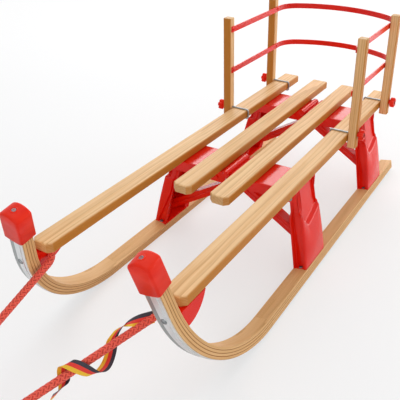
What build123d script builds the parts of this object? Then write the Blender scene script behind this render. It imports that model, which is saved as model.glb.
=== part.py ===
from build123d import *
from math import asin, atan2, cos, hypot, pi, radians, sin, tan
import os

os.makedirs("parts", exist_ok=True)

# Frame: X across the sled, Y towards its rear, Z up from the floor, all in millimetres.
# The origin lies on the floor in the middle of the sled's length and width.
SIDES = (("left", -1), ("right", 1))

# Runners: laminated wood bent up into a horn, canted so that the foot stands wide
CANT = 11.5
FOOT_X = 190.0
RUNNER_W = 32.0
LAYERS = 4
LAYER_T = 5.5
GLUE_GROOVE_W = 0.7
GLUE_GROOVE_DEPTH = 0.5
RUNNER_REAR_Y = 507.0
BEND_START_Y = -278.0
BEND_R = 265.0
BEND_ANGLE = 79.0
HORN_STRAIGHT = 94.0

# Steel strip under each runner, a flat band with a raised crown
STRIP_W = 28.0
STRIP_T = 1.2
CROWN_W = 14.0
CROWN_T = 0.9

# Plastic caps over the horns
CAP_WALL = 3.0
CAP_BACK_WALL = 5.0
CAP_HEIGHT = 46.0
CAP_ARCH = 8.0
CAP_TOP_GAP = 6.0
CAP_SHOULDER_R = 6.0
CAP_FILLET = 4.0
FIT_GAP = 0.3

# Seat slats: rounded boards with clipped corners
SLAT_T = 20.0
SLAT_TOP_Z = 222.0
SLAT_ROUND = 3.5
SLAT_CLIP = 9.0
SLAT_REAR_CLIP = 3.0
# name, middle across, width, front end, rear end
SLATS = (
    ("outer_left", -139.5, 45.0, -498.0, 530.0),
    ("inner_left", -44.0, 44.0, -208.0, 524.0),
    ("inner_right", 44.0, 44.0, -208.0, 524.0),
    ("outer_right", 139.5, 45.0, -498.0, 530.0),
)

# Two folding trestles carry the slats, the rear one just ahead of the rear posts' hooks
FRONT_BEAM_Y = -37.0
BEAM_TO_HOOK = 38.0
SHEET_T = 2.0
BEAM_LEN = 98.0
BEAM_DEPTH = 26.0
BEAM_OUTER_X = 160.0
BEAM_GAP = 1.5
BEAM_CORNER_R = 2.5
KNUCKLE_R = 9.5
KNUCKLE_RISE = 5.0

# Legs: hat-section pressings in the canted plane, wider at the foot
LEG_TOP_LEN = 88.0
LEG_FOOT_LEN = 102.0
LEG_RAKE = -12.0
LEG_DEPTH = 30.0
LEG_CHANNEL = 12.0
LEG_TOP_GAP = 1.0
BULGE_W = 76.0
BULGE_H = 92.0
BULGE_OUT = 7.0
BULGE_SLOPE = 7.0
HIP_PIN_X = 146.0
HIP_PIN_Z = 186.0

# Struts from the legs to the middle pivot
STRUT_DEPTH = 20.0
STRUT_WIDE = 30.0
STRUT_LOW_Z = 56.0
STRUT_EAR = 22.0
EAR_R = 8.0
PIVOT_Z = 166.0
NEST_GAP = 0.5
PIN_R = 3.0
PIN_HEAD_R = 6.0
PIN_HEAD_T = 3.0
PIN_FIT = 0.1

# Middle bracket that joins both beam halves and the struts
BRACKET_T = 3.0
BRACKET_PIN_X = 35.0
BRACKET_PIN_Z = 187.0
LOBE_R = 8.0
LOCK_T = 3.0
LOCK_HOLE_R = 6.0
LOCK_TIP = (-9.0, 172.0)
LOCK_CREST = (8.0, 177.0)
LOCK_TOP = (42.0, 180.0)
LOCK_LOW = (35.0, 130.0)
LOCK_BELLY = (8.0, 143.0)
LOCK_HOLE = (22.0, 155.0)
LOCK_CORNER_R = 4.0

# Brackets that hold the slats' front ends to the runners, with the tow rope's socket
HORN_BRACKET_W = 24.0
HORN_BRACKET_LEN = 78.0
HORN_BRACKET_DROP = 34.0

# Backrest: four posts clamped to the outer slats and two bent flat rails
POST_T = 22.0
POST_W = 22.0
POST_LOW_Z = 190.0
POST_TOP_Z = 456.0
POST_ROUND = 5.0
POST_FRONT_Y = 209.0
POST_REAR_Y = 455.0
RAIL_T = 3.0
RAIL_H = 14.0
UPPER_RAIL_DROP = 27.0
RAIL_SPACING = 104.0
RAIL_CORNER_R = 60.0
RAIL_CORNER_TURN = 60.0
RAIL_END_PAST = 6.0
RAIL_STRAIGHT_PAST = 16.7

# Wire hooks through the posts and over and under the slats, with star knobs outside
WIRE_R = 2.0
HOOK_BEND_R = 5.0
HOOK_TIP = 14.0
KNOB_R = 13.0
KNOB_T = 12.0
KNOB_HUB_R = 7.0
KNOB_HUB_T = 4.0
KNOB_SKIN = 3.0
KNOB_LOBES = 5
KNOB_NOTCH_R = 5.0

# Tow rope: two strands pulled straight from the horn brackets to a wooden handle
ROPE_D = 12.0
ROPE_ROUTES = {
    "left": ((-145.9, -468.2, 192.0), (-128.9, -484.3, 182.8), (-133.1, -929.8, 28.5)),
    "right": ((147.2, -469.7, 191.2), (126.5, -481.6, 184.1), (-118.0, -934.0, 25.5)),
}
ROPE_ARC_SHARE = 0.45
SOCKET_LEN = 30.0
RIBBON_T = 2.0
RIBBON_START = 45.0
RIBBON_LEN = 180.0
KNOT_X = -132.0
KNOT_Y = -955.0
KNOT_YAW = 15.5
KNOT_W = 27.0
KNOT_LUMP_LEN = 36.0
KNOT_LUMP_W = 34.0
KNOT_LUMP_H = 21.0
HANDLE_R = 14.0
HANDLE_LEN = 115.0
HANDLE_ROUND = 5.0
KNOT_R = HANDLE_R + ROPE_D
KNOT_LIFT = 1.5

CANT_RAD = radians(CANT)
FLOOR_LIFT = STRIP_W / 2 * sin(CANT_RAD) - CROWN_T * cos(CANT_RAD)
STRIP_H = STRIP_T + CROWN_T
RUNNER_T = LAYERS * LAYER_T
RUNNER_TOP_V = STRIP_H + RUNNER_T
SLAT_LOW_Z = SLAT_TOP_Z - SLAT_T
SLAT_OUTER_X = SLATS[3][1] + SLATS[3][2] / 2
REAR_BEAM_Y = POST_REAR_Y - WIRE_R - BEAM_TO_HOOK - BEAM_LEN / 2
# name, middle of its cross beams along the sled
TRESTLES = (("front", FRONT_BEAM_Y), ("rear", REAR_BEAM_Y))
NECK_V = (SLAT_LOW_Z - BEAM_DEPTH - FLOOR_LIFT) / cos(CANT_RAD)
LEG_TOP_V = (SLAT_LOW_Z - FLOOR_LIFT) / cos(CANT_RAD)
LEG_INNER = -LEG_DEPTH / 2
LEG_OUTER = LEG_DEPTH / 2


def canted(side, outward=0.0):
    """The plane of one runner: local x along the sled, local y up the cant, outward shifts it."""
    normal = Vector(cos(CANT_RAD), 0, side * sin(CANT_RAD))
    origin = Vector(side * FOOT_X, 0, FLOOR_LIFT) + normal * (side * outward)
    return Plane(origin=origin, x_dir=(0, 1, 0), z_dir=normal)


def runner_band(low, high):
    """The outline of a bent band, from its depth low to its depth high above the crown."""
    turn = radians(BEND_ANGLE)
    centre_v = BEND_R
    with BuildSketch() as band:
        with BuildLine():
            ends = []
            for depth in (low, high):
                radius = BEND_R - depth
                base = (BEND_START_Y, depth)
                rear = (RUNNER_REAR_Y, depth)
                mid = (
                    BEND_START_Y - radius * sin(turn / 2),
                    centre_v - radius * cos(turn / 2),
                )
                top = (
                    BEND_START_Y - radius * sin(turn),
                    centre_v - radius * cos(turn),
                )
                tip = (
                    top[0] - HORN_STRAIGHT * cos(turn),
                    top[1] + HORN_STRAIGHT * sin(turn),
                )
                Line(rear, base)
                ThreePointArc(base, mid, top)
                Line(top, tip)
                ends.append((rear, tip))
            Line(ends[0][0], ends[1][0])
            Line(ends[0][1], ends[1][1])
        make_face()
    return band.sketch


def leg_outline(middle_y, set_in, extra=0.0):
    """A leg's side view in the canted plane, its edges moved in and its ends out by extra."""
    leg_y = middle_y + LEG_RAKE
    half_top = LEG_TOP_LEN / 2 - set_in
    half_foot = LEG_FOOT_LEN / 2 - set_in
    with BuildSketch() as outline:
        with BuildLine():
            Polyline(
                (leg_y - half_foot, RUNNER_TOP_V - extra),
                (leg_y + half_foot, RUNNER_TOP_V - extra),
                (middle_y + half_top, NECK_V),
                (middle_y + half_top, LEG_TOP_V + extra),
                (middle_y - half_top, LEG_TOP_V + extra),
                (middle_y - half_top, NECK_V),
                close=True,
            )
        make_face()
    return outline.sketch


def bulge_outline(middle_y, set_in):
    """The arched panel pressed out of the lower half of a leg's outer sheet."""
    leg_y = middle_y + LEG_RAKE
    half = BULGE_W / 2 - set_in
    arch_v = RUNNER_TOP_V + BULGE_H - BULGE_W / 2
    arch_y = leg_y - LEG_RAKE * (arch_v - RUNNER_TOP_V) / (NECK_V - RUNNER_TOP_V)
    with BuildSketch() as outline:
        with BuildLine():
            Line((leg_y - half, RUNNER_TOP_V), (leg_y + half, RUNNER_TOP_V))
            Line((leg_y + half, RUNNER_TOP_V), (arch_y + half, arch_v))
            ThreePointArc(
                (arch_y + half, arch_v), (arch_y, arch_v + half), (arch_y - half, arch_v)
            )
            Line((arch_y - half, arch_v), (leg_y - half, RUNNER_TOP_V))
        make_face()
    return outline.sketch


def cross_section(middle_y, offset=0.0):
    """A plane across the sled at a trestle, local x to the right and local y up."""
    return Plane.XZ.offset(-middle_y + offset)


def headed_pin(middle_y, pin_x, pin_z, length, back=0.0):
    """A pin along the sled with a head at each end, its rear end moved back by back."""
    with BuildPart() as pin:
        for offset, run, radius in (
            (-length / 2 - back - PIN_HEAD_T, PIN_HEAD_T, PIN_HEAD_R),
            (-length / 2 - back, length + back, PIN_R),
            (length / 2, PIN_HEAD_T, PIN_HEAD_R),
        ):
            with BuildSketch(cross_section(middle_y, offset)):
                with Locations((pin_x, pin_z)):
                    Circle(radius)
            extrude(amount=run)
    return pin.part


def strut_bar(side, top, bottom, end_back):
    """A strut's side view between two distances from its middle line, short of the pivot."""
    low_point = Vector(side * (FOOT_X - (STRUT_LOW_Z - FLOOR_LIFT) * tan(CANT_RAD)), STRUT_LOW_Z)
    high_point = Vector(0, PIVOT_Z)
    along = (high_point - low_point).normalized()
    up = Vector(-along.Y, along.X) * (-side)
    start = low_point - along * LEG_DEPTH
    end = high_point - along * end_back
    corners = (start + up * top, end + up * top, end - up * bottom, start - up * bottom)
    with BuildSketch() as outline:
        with BuildLine():
            Polyline(*[(corner.X, corner.Y) for corner in corners], close=True)
        make_face()
    return outline.sketch


def rope_socket(route):
    """The plane across a rope's route at its first point, its normal along the route."""
    start, towards = Vector(*route[0]), Vector(*route[1])
    return Plane(origin=start, z_dir=towards - start)


# Runners and their steel strips
for side_name, side in SIDES:
    plane = canted(side)
    with BuildPart() as runner:
        with BuildSketch(plane):
            add(runner_band(STRIP_H, RUNNER_TOP_V))
        extrude(amount=RUNNER_W / 2 - GLUE_GROOVE_DEPTH, both=True)
        for layer in range(LAYERS):
            layer_low = STRIP_H + layer * LAYER_T
            groove_low = GLUE_GROOVE_W / 2 if layer > 0 else 0
            groove_high = GLUE_GROOVE_W / 2 if layer < LAYERS - 1 else 0
            with BuildSketch(plane):
                add(runner_band(layer_low + groove_low, layer_low + LAYER_T - groove_high))
            extrude(amount=RUNNER_W / 2, both=True)
    runner.part.label = f"runner_{side_name}"
    export_step(runner.part, f"parts/runner_{side_name}.step")

    with BuildPart() as strip:
        with BuildSketch(plane):
            add(runner_band(CROWN_T, STRIP_H))
        extrude(amount=STRIP_W / 2, both=True)
        with BuildSketch(plane):
            add(runner_band(0, STRIP_H))
        extrude(amount=CROWN_W / 2, both=True)
    strip.part.label = f"runner_strip_{side_name}"
    export_step(strip.part, f"parts/runner_strip_{side_name}.step")

# Caps: a box arched from side to side, with a socket for the horn's end
turn_rad = radians(BEND_ANGLE)
HORN_FRONT_Y = BEND_START_Y - BEND_R * sin(turn_rad) - HORN_STRAIGHT * cos(turn_rad)
HORN_FRONT_V = BEND_R - BEND_R * cos(turn_rad) + HORN_STRAIGHT * sin(turn_rad)
HORN_DEPTH = STRIP_H + RUNNER_T
CAP_DEPTH = HORN_DEPTH + CAP_WALL + CAP_BACK_WALL + 2 * FIT_GAP
for side_name, side in SIDES:
    base = canted(side)
    horn_end = Plane(
        origin=base.from_local_coords(Vector(HORN_FRONT_Y, HORN_FRONT_V, 0)),
        x_dir=base.x_dir * sin(turn_rad) + base.y_dir * cos(turn_rad),
        z_dir=base.z_dir,
    )
    cap_top = CAP_TOP_GAP
    cap_low = CAP_TOP_GAP - CAP_HEIGHT
    front = -CAP_WALL - FIT_GAP
    profile = Plane(
        origin=horn_end.from_local_coords(Vector(front, 0, 0)),
        x_dir=-horn_end.z_dir,
        z_dir=horn_end.x_dir,
    )
    half = RUNNER_W / 2 + CAP_WALL + FIT_GAP
    with BuildPart() as cap:
        with BuildSketch(profile):
            with BuildLine():
                Polyline((-half, cap_top), (-half, cap_low), (half, cap_low), (half, cap_top))
                ThreePointArc((half, cap_top), (0, cap_top + CAP_ARCH), (-half, cap_top))
            make_face()
            fillet(vertices().sort_by(Axis.Y)[-2:], CAP_SHOULDER_R)
        extrude(amount=CAP_DEPTH)
        depthwise = Axis((0, 0, 0), horn_end.x_dir)
        upwards = Axis(horn_end.origin, horn_end.y_dir)
        fillet(cap.faces().filter_by(depthwise).edges().sort_by(upwards)[2:], CAP_FILLET)
        with BuildSketch(horn_end):
            with Locations((HORN_DEPTH / 2, cap_low)):
                Rectangle(HORN_DEPTH + 2 * FIT_GAP, 2 * CAP_HEIGHT - 2 * CAP_TOP_GAP + 2 * FIT_GAP)
        extrude(amount=RUNNER_W / 2 + FIT_GAP, both=True, mode=Mode.SUBTRACT)
    cap.part.label = f"horn_cap_{side_name}"
    export_step(cap.part, f"parts/horn_cap_{side_name}.step")

# Slats
for slat_name, middle_x, width, front_y, rear_y in SLATS:
    with BuildPart() as slat:
        with BuildSketch(Plane.XY.offset(SLAT_LOW_Z)):
            with Locations((middle_x, (front_y + rear_y) / 2)):
                Rectangle(width, rear_y - front_y)
        extrude(amount=SLAT_T)
        corners = slat.edges().filter_by(Axis.Z).sort_by(Axis.Y)
        chamfer(corners[:2], SLAT_CLIP)
        chamfer(corners[2:], SLAT_REAR_CLIP)
        fillet(slat.edges().filter_by(Plane.XY), SLAT_ROUND)
    slat.part.label = f"slat_{slat_name}"
    export_step(slat.part, f"parts/slat_{slat_name}.step")

# Trestles
for trestle_name, middle_y in TRESTLES:
    for side_name, side in SIDES:
        tag = f"{trestle_name}_{side_name}"

        # Cross beam: an upside-down channel whose inner end is rolled into a knuckle
        beam_inner = BEAM_GAP + KNUCKLE_R
        beam_mid = side * (beam_inner + BEAM_OUTER_X) / 2
        beam_run = BEAM_OUTER_X - beam_inner
        knuckle_z = SLAT_LOW_Z - KNUCKLE_R + KNUCKLE_RISE
        with BuildPart() as beam:
            with BuildSketch(Plane.XY.offset(SLAT_LOW_Z - BEAM_DEPTH)):
                with Locations((beam_mid, middle_y)):
                    Rectangle(beam_run, BEAM_LEN)
            extrude(amount=BEAM_DEPTH)
            fillet(beam.edges().filter_by(Axis.X).group_by(Axis.Z)[-1], BEAM_CORNER_R)
            with BuildSketch(Plane.XY.offset(SLAT_LOW_Z - BEAM_DEPTH)):
                with Locations((beam_mid, middle_y)):
                    Rectangle(beam_run, BEAM_LEN - 2 * SHEET_T)
            extrude(amount=BEAM_DEPTH - SHEET_T, mode=Mode.SUBTRACT)
            with BuildSketch(cross_section(middle_y, -BEAM_LEN / 2)):
                with Locations((side * beam_inner, knuckle_z)):
                    Circle(KNUCKLE_R)
            extrude(amount=BEAM_LEN)
            with BuildSketch(cross_section(middle_y, -BEAM_LEN / 2)):
                with Locations((side * beam_inner, knuckle_z)):
                    Circle(KNUCKLE_R - SHEET_T)
            extrude(amount=BEAM_LEN, mode=Mode.SUBTRACT)
            with BuildSketch(cross_section(middle_y, -BEAM_LEN / 2)):
                with Locations(
                    (side * BRACKET_PIN_X, BRACKET_PIN_Z), (side * HIP_PIN_X, HIP_PIN_Z)
                ):
                    Circle(PIN_R + PIN_FIT)
            extrude(amount=BEAM_LEN, mode=Mode.SUBTRACT)
        beam.part.label = f"beam_{tag}"
        export_step(beam.part, f"parts/beam_{tag}.step")

        # Leg: a wide outer sheet, two webs set back from its edges, and lips along the inside
        with BuildPart() as leg:
            for start, edge_in, amount in (
                (LEG_OUTER - SHEET_T, 0, SHEET_T),
                (LEG_INNER, 0, SHEET_T),
                (LEG_INNER, LEG_CHANNEL, LEG_DEPTH - SHEET_T),
            ):
                with BuildSketch(canted(side, start)):
                    add(leg_outline(middle_y, edge_in))
                extrude(amount=side * amount)
            for set_in, reach, mode in ((0, 0, Mode.ADD), (SHEET_T, -SHEET_T, Mode.SUBTRACT)):
                with BuildSketch(canted(side, LEG_OUTER + reach)):
                    add(bulge_outline(middle_y, set_in))
                with BuildSketch(canted(side, LEG_OUTER + BULGE_OUT + reach)):
                    add(bulge_outline(middle_y, set_in + BULGE_SLOPE))
                loft(ruled=True, mode=mode)
            with BuildSketch(canted(side, LEG_INNER)):
                add(leg_outline(middle_y, LEG_CHANNEL + SHEET_T, SHEET_T))
            extrude(amount=side * (LEG_DEPTH - SHEET_T), mode=Mode.SUBTRACT)
            with BuildSketch(canted(side, LEG_INNER)):
                with Locations((middle_y + LEG_RAKE, RUNNER_TOP_V + SHEET_T / 2)):
                    Rectangle(LEG_FOOT_LEN, SHEET_T)
            extrude(amount=side * LEG_DEPTH)
            under_beam = Plane.XY.offset(SLAT_LOW_Z - SHEET_T - LEG_TOP_GAP)
            split(bisect_by=under_beam, keep=Keep.BOTTOM)
            with BuildSketch(cross_section(middle_y, -BEAM_LEN / 2)):
                with Locations((side * HIP_PIN_X, HIP_PIN_Z)):
                    Circle(PIN_R + PIN_FIT)
            extrude(amount=BEAM_LEN, mode=Mode.SUBTRACT)
        leg.part.label = f"leg_{tag}"
        export_step(leg.part, f"parts/leg_{tag}.step")

        # Hip pin: the beam turns on the leg about it
        hip_pin = headed_pin(middle_y, side * HIP_PIN_X, HIP_PIN_Z, BEAM_LEN)
        hip_pin.label = f"hip_pin_{tag}"
        export_step(hip_pin, f"parts/hip_pin_{tag}.step")

        # Strut: a channel from inside the leg to the middle pivot, the right one nested
        wide = STRUT_WIDE if side < 0 else STRUT_WIDE - 2 * (SHEET_T + NEST_GAP)
        half_depth = STRUT_DEPTH / 2
        with BuildPart() as strut:
            with BuildSketch(cross_section(middle_y)):
                add(strut_bar(side, half_depth, half_depth, 0))
                with Locations((0, PIVOT_Z)):
                    Circle(EAR_R)
            extrude(amount=wide / 2, both=True)
            with BuildSketch(cross_section(middle_y)):
                add(strut_bar(side, half_depth - SHEET_T, STRUT_DEPTH, -STRUT_EAR))
            extrude(amount=wide / 2 - SHEET_T, both=True, mode=Mode.SUBTRACT)
            with BuildSketch(cross_section(middle_y)):
                add(strut_bar(side, STRUT_DEPTH, STRUT_DEPTH, -STRUT_EAR))
                add(strut_bar(side, 2 * STRUT_DEPTH, 2 * STRUT_DEPTH, STRUT_EAR), mode=Mode.SUBTRACT)
            extrude(amount=wide / 2 - SHEET_T, both=True, mode=Mode.SUBTRACT)
            with BuildSketch(cross_section(middle_y)):
                with Locations((0, PIVOT_Z)):
                    Circle(PIN_R + PIN_FIT)
            extrude(amount=wide, both=True, mode=Mode.SUBTRACT)
            inside_sheet = canted(side, LEG_OUTER - SHEET_T)
            split(bisect_by=inside_sheet, keep=Keep.BOTTOM if side > 0 else Keep.TOP)
        strut.part.label = f"strut_{tag}"
        export_step(strut.part, f"parts/strut_{tag}.step")

    # Middle bracket: two plates with the beams' pins and the struts' pin through them
    plate_near = STRUT_WIDE / 2 + NEST_GAP
    plate_far = plate_near + BRACKET_T
    knuckle_low = SLAT_LOW_Z - 2 * KNUCKLE_R + KNUCKLE_RISE
    lock_room = LOCK_T + NEST_GAP if trestle_name == "rear" else 0
    with BuildPart() as bracket:
        with BuildSketch(cross_section(middle_y)):
            with Locations(
                (-BRACKET_PIN_X, BRACKET_PIN_Z), (BRACKET_PIN_X, BRACKET_PIN_Z), (0, PIVOT_Z)
            ):
                Circle(LOBE_R)
            make_hull()
            with Locations((0, knuckle_low - NEST_GAP + LOBE_R)):
                Rectangle(4 * KNUCKLE_R + 4 * BEAM_GAP, 2 * LOBE_R, mode=Mode.SUBTRACT)
        extrude(amount=plate_far, both=True)
        with BuildSketch(cross_section(middle_y)):
            Rectangle(4 * BRACKET_PIN_X, 4 * PIVOT_Z)
        extrude(amount=plate_near, both=True, mode=Mode.SUBTRACT)
        add(headed_pin(middle_y, -BRACKET_PIN_X, BRACKET_PIN_Z, BEAM_LEN))
        add(headed_pin(middle_y, BRACKET_PIN_X, BRACKET_PIN_Z, BEAM_LEN))
        add(headed_pin(middle_y, 0, PIVOT_Z, 2 * plate_far, lock_room))
    bracket.part.label = f"middle_bracket_{trestle_name}"
    export_step(bracket.part, f"parts/middle_bracket_{trestle_name}.step")

# Lock plate: a steel cam on the rear trestle's middle pivot
lock_face = STRUT_WIDE / 2 + NEST_GAP + BRACKET_T + NEST_GAP / 2
with BuildPart() as lock:
    with BuildSketch(cross_section(TRESTLES[1][1], -lock_face - LOCK_T)):
        with BuildLine():
            Polyline(LOCK_TIP, LOCK_CREST, LOCK_TOP, LOCK_LOW)
            ThreePointArc(LOCK_LOW, LOCK_BELLY, LOCK_TIP)
        make_face()
        fillet(vertices(), LOCK_CORNER_R)
        with Locations((0, PIVOT_Z)):
            Circle(PIN_R + PIN_FIT, mode=Mode.SUBTRACT)
        with Locations(LOCK_HOLE):
            Circle(LOCK_HOLE_R, mode=Mode.SUBTRACT)
    extrude(amount=LOCK_T)
lock.part.label = "lock_plate"
export_step(lock.part, "parts/lock_plate.step")

# Horn brackets: wedges under the slats' front ends that seat against the runners' bend
inner_bend_r = BEND_R - RUNNER_TOP_V - FIT_GAP


def bend_y(height):
    """Where the hollow side of a runner's bend is at a height in the canted plane."""
    return BEND_START_Y - (inner_bend_r**2 - (BEND_R - height) ** 2) ** 0.5


bracket_high = LEG_TOP_V + HORN_BRACKET_W * tan(CANT_RAD)
bracket_low = LEG_TOP_V - HORN_BRACKET_DROP
bracket_mid = (bracket_high + bracket_low) / 2
tail_y = bend_y(LEG_TOP_V) + HORN_BRACKET_LEN
for side_name, side in SIDES:
    with BuildPart() as horn_bracket:
        with BuildSketch(canted(side)):
            with BuildLine():
                ThreePointArc(
                    (bend_y(bracket_high), bracket_high),
                    (bend_y(bracket_mid), bracket_mid),
                    (bend_y(bracket_low), bracket_low),
                )
                ThreePointArc(
                    (bend_y(bracket_low), bracket_low),
                    (tail_y - HORN_BRACKET_LEN / 3, bracket_low + HORN_BRACKET_DROP / 3),
                    (tail_y, bracket_high),
                )
                Line((tail_y, bracket_high), (bend_y(bracket_high), bracket_high))
            make_face()
        extrude(amount=HORN_BRACKET_W / 2, both=True)
        split(bisect_by=Plane.XY.offset(SLAT_LOW_Z), keep=Keep.BOTTOM)
        with BuildSketch(rope_socket(ROPE_ROUTES[side_name])):
            Circle(ROPE_D / 2 + FIT_GAP)
        extrude(amount=SOCKET_LEN, mode=Mode.SUBTRACT)
    horn_bracket.part.label = f"horn_bracket_{side_name}"
    export_step(horn_bracket.part, f"parts/horn_bracket_{side_name}.step")

# Backrest posts, with a hole for the hook's wire
WIRE_Z = SLAT_TOP_Z + FIT_GAP + WIRE_R
POST_IN_X = SLAT_OUTER_X + FIT_GAP
POST_MID_X = POST_IN_X + POST_T / 2
POST_OUT_X = POST_IN_X + POST_T
for post_name, post_y in (("front", POST_FRONT_Y), ("rear", POST_REAR_Y)):
    for side_name, side in SIDES:
        tag = f"{post_name}_{side_name}"
        with BuildPart() as post:
            with BuildSketch(Plane.XY.offset(POST_LOW_Z)):
                with Locations((side * POST_MID_X, post_y)):
                    RectangleRounded(POST_T, POST_W, POST_ROUND)
            extrude(amount=POST_TOP_Z - POST_LOW_Z)
            fillet(post.faces().sort_by(Axis.Z)[-1].edges(), POST_ROUND / 2)
            with BuildSketch(Plane.YZ.offset(side * POST_MID_X)):
                with Locations((post_y, WIRE_Z)):
                    Circle(WIRE_R + FIT_GAP)
            extrude(amount=POST_T, both=True, mode=Mode.SUBTRACT)
        post.part.label = f"backrest_post_{tag}"
        export_step(post.part, f"parts/backrest_post_{tag}.step")

        # Wire hook: through the post, over the slat, down its inner side and back below it
        hook_in_x = SLATS[3][1] - SLATS[3][2] / 2 - FIT_GAP - WIRE_R
        hook_low_z = SLAT_LOW_Z - FIT_GAP - WIRE_R
        hook_out_x = POST_OUT_X + KNOB_HUB_T + KNOB_T - KNOB_SKIN
        with BuildPart() as hook:
            with BuildLine() as wire:
                FilletPolyline(
                    (side * hook_out_x, post_y, WIRE_Z),
                    (side * hook_in_x, post_y, WIRE_Z),
                    (side * hook_in_x, post_y, hook_low_z),
                    (side * (hook_in_x + HOOK_TIP), post_y, hook_low_z),
                    radius=HOOK_BEND_R,
                )
            with BuildSketch(Plane(wire.line @ 0, z_dir=wire.line % 0)):
                Circle(WIRE_R)
            sweep()
        hook.part.label = f"clamp_hook_{tag}"
        export_step(hook.part, f"parts/clamp_hook_{tag}.step")

        # Star knob on the hook's threaded end
        with BuildPart() as knob:
            with BuildSketch(Plane.YZ.offset(side * POST_OUT_X)):
                with Locations((post_y, WIRE_Z)):
                    Circle(KNOB_HUB_R)
            extrude(amount=side * KNOB_HUB_T)
            with BuildSketch(Plane.YZ.offset(side * (POST_OUT_X + KNOB_HUB_T))):
                with Locations((post_y, WIRE_Z)):
                    Circle(KNOB_R)
                    with PolarLocations(KNOB_R + KNOB_NOTCH_R / 2, KNOB_LOBES):
                        Circle(KNOB_NOTCH_R, mode=Mode.SUBTRACT)
            extrude(amount=side * KNOB_T)
            with BuildSketch(Plane.YZ.offset(side * POST_OUT_X)):
                with Locations((post_y, WIRE_Z)):
                    Circle(WIRE_R + PIN_FIT)
            extrude(amount=side * (KNOB_HUB_T + KNOB_T - KNOB_SKIN), mode=Mode.SUBTRACT)
        knob.part.label = f"star_knob_{tag}"
        export_step(knob.part, f"parts/star_knob_{tag}.step")

# Backrest rails: flat bars along the posts' inner faces, bowed behind the rear posts
rail_x = POST_IN_X - RAIL_T / 2
rail_turn = radians(RAIL_CORNER_TURN)
corner_start = POST_REAR_Y + RAIL_STRAIGHT_PAST
corner_x = rail_x - RAIL_CORNER_R * (1 - cos(rail_turn))
corner_y = corner_start + RAIL_CORNER_R * sin(rail_turn)
half_way = rail_turn / 2
corner_mid = (
    rail_x - RAIL_CORNER_R * (1 - cos(half_way)),
    corner_start + RAIL_CORNER_R * sin(half_way),
)
bow_angle = radians(90) - rail_turn
bow_r = corner_x / sin(bow_angle)
bow_y = corner_y + bow_r * (1 - cos(bow_angle))
rail_front_y = POST_FRONT_Y - RAIL_END_PAST
upper_rail_z = POST_TOP_Z - UPPER_RAIL_DROP
for rail_name, rail_z in (("lower", upper_rail_z - RAIL_SPACING), ("upper", upper_rail_z)):
    with BuildPart() as rail:
        with BuildSketch(Plane.XY.offset(rail_z - RAIL_H / 2)):
            with BuildLine() as rail_line:
                for side in (-1, 1):
                    Line((side * rail_x, rail_front_y), (side * rail_x, corner_start))
                    ThreePointArc(
                        (side * rail_x, corner_start),
                        (side * corner_mid[0], corner_mid[1]),
                        (side * corner_x, corner_y),
                    )
                ThreePointArc((-corner_x, corner_y), (0, bow_y), (corner_x, corner_y))
                offset(amount=RAIL_T / 2)
            make_face()
        extrude(amount=RAIL_H)
    rail.part.label = f"backrest_rail_{rail_name}"
    export_step(rail.part, f"parts/backrest_rail_{rail_name}.step")

# Tow rope's strands, from the horn brackets' sockets to those in the knot
for side_name, side in SIDES:
    route = [Vector(*point) for point in ROPE_ROUTES[side_name]]
    radii = []
    for before, corner, after in zip(route, route[1:], route[2:]):
        turn = radians((corner - before).get_angle(after - corner))
        run = min((corner - before).length, (after - corner).length)
        radii.append(ROPE_ARC_SHARE * run / tan(turn / 2))
    with BuildPart() as rope:
        with BuildLine() as strand:
            FilletPolyline(*route, radius=radii)
        with BuildSketch(Plane(strand.line @ 0, z_dir=strand.line % 0)):
            Circle(ROPE_D / 2)
        sweep()
    strand_len = strand.wire().length
    tube_volume = pi * ROPE_D**2 / 4 * strand_len
    print(f"tow rope {side_name}: bend radii {[round(radius, 1) for radius in radii]} mm,")
    print(f"  length {strand_len:.1f} mm, volume {rope.part.volume / tube_volume:.4f} of a tube")
    rope.part.label = f"tow_rope_{side_name}"
    export_step(rope.part, f"parts/tow_rope_{side_name}.step")

# Ribbon wound round the right strand, as a plain sleeve
strand_start, strand_end = (Vector(*point) for point in ROPE_ROUTES["right"][1:])
along_strand = (strand_end - strand_start).normalized()
with BuildPart() as ribbon:
    with BuildSketch(Plane(strand_start + along_strand * RIBBON_START, z_dir=along_strand)):
        Circle(ROPE_D / 2 + RIBBON_T)
        Circle(ROPE_D / 2, mode=Mode.SUBTRACT)
    extrude(amount=RIBBON_LEN)
ribbon.part.label = "ribbon"
export_step(ribbon.part, "parts/ribbon.step")

# Handle: it rests on the knot and on one of its own ends
end_reach = HANDLE_LEN / 2 - HANDLE_ROUND
end_drop = HANDLE_R - HANDLE_ROUND
mid_z = KNOT_R + KNOT_LIFT
tilt = asin((mid_z - HANDLE_ROUND) / hypot(end_reach, end_drop)) - atan2(end_drop, end_reach)
yaw = radians(KNOT_YAW)
towards_sled = Vector(sin(yaw), cos(yaw), 0)
handle_axis = Vector(cos(yaw) * cos(tilt), -sin(yaw) * cos(tilt), -sin(tilt))
handle_mid = Plane(origin=(KNOT_X, KNOT_Y, mid_z), x_dir=towards_sled, z_dir=handle_axis)
with BuildPart() as handle:
    with BuildSketch(handle_mid):
        Circle(HANDLE_R)
    extrude(amount=HANDLE_LEN / 2, both=True)
    fillet(handle.edges().filter_by(GeomType.CIRCLE), HANDLE_ROUND)
handle.part.label = "tow_handle"
export_step(handle.part, "parts/tow_handle.step")

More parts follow.
